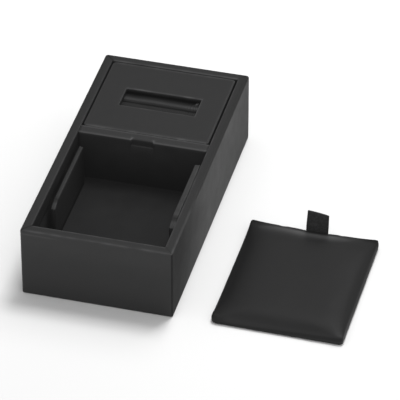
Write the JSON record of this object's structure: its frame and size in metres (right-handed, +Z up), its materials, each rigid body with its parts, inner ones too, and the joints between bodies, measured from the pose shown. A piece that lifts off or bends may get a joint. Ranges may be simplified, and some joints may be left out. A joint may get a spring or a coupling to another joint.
{
  "type": "jewelry display tray",
  "caption": "Black leatherette two-bay jewelry tray with a lift-out padded ring insert, an open bay with side rails and a cushioned pad with a ribbon tab.",
  "frame": {"origin": "on the table under the middle of the tray, at the centre of its underside", "axes": "+X across the tray to its right, +Y along it to the bay with the ring insert, +Z up"},
  "size_m": [0.216, 0.204, 0.0525],
  "materials": {
    "leatherette": "fine-grain matt",
    "lining": "fine-grain matt",
    "greyboard": "uncoated",
    "foam": "open cell",
    "felt": "flocked",
    "grosgrain": "ribbed weave"
  },
  "bodies": {
    "tray": {"base_felt": "felt", "base_board": "greyboard", "front_wall": "greyboard", "rear_wall": "greyboard", "left_wall": "greyboard", "right_wall": "greyboard", "outer_wrap": "leatherette", "divider": "greyboard", "divider_wrap": "leatherette", "front_bay_lining": "lining", "rear_bay_lining": "lining", "rear_floor_lining": "lining", "floor_risers": "greyboard", "floor_board": "greyboard", "floor_lining": "lining", "left_rail": "greyboard", "right_rail": "greyboard", "left_rail_wrap": "leatherette", "right_rail_wrap": "leatherette", "rail_spacers": "greyboard", "left_ledge": "greyboard", "right_ledge": "greyboard"},
    "ring_insert": {"insert_face": "greyboard", "insert_cover": "leatherette", "skirt_front": "greyboard", "skirt_rear": "greyboard", "skirt_left": "greyboard", "skirt_right": "greyboard", "roll_carrier": "greyboard", "front_roll_core": "foam", "rear_roll_core": "foam", "front_roll_cover": "lining", "rear_roll_cover": "lining"},
    "pad": {"pad_backing": "felt", "pad_board": "greyboard", "pad_foam": "foam", "pad_cover": "leatherette", "tab_tail": "grosgrain"},
    "pull_tab": {"pull_tab": "grosgrain"}
  },
  "joints": [
    {"name": "insert_lift", "type": "slide", "parent": "tray", "child": "ring_insert", "axis": [0, 0, 1], "range_m": [0, 0.05]},
    {"name": "pad_lift", "type": "slide", "parent": "tray", "child": "pad", "axis": [0, 0, 1], "range_m": [0, 0.06]},
    {"name": "tab_fold", "type": "hinge", "parent": "pad", "child": "pull_tab", "pos_m": [0.12255, 0.00423, 0.0049], "axis": [0.9999, -0.0105, 0], "range_deg": [-70, 60], "stiffness_Nm_per_rad": 0.0002}
  ]
}
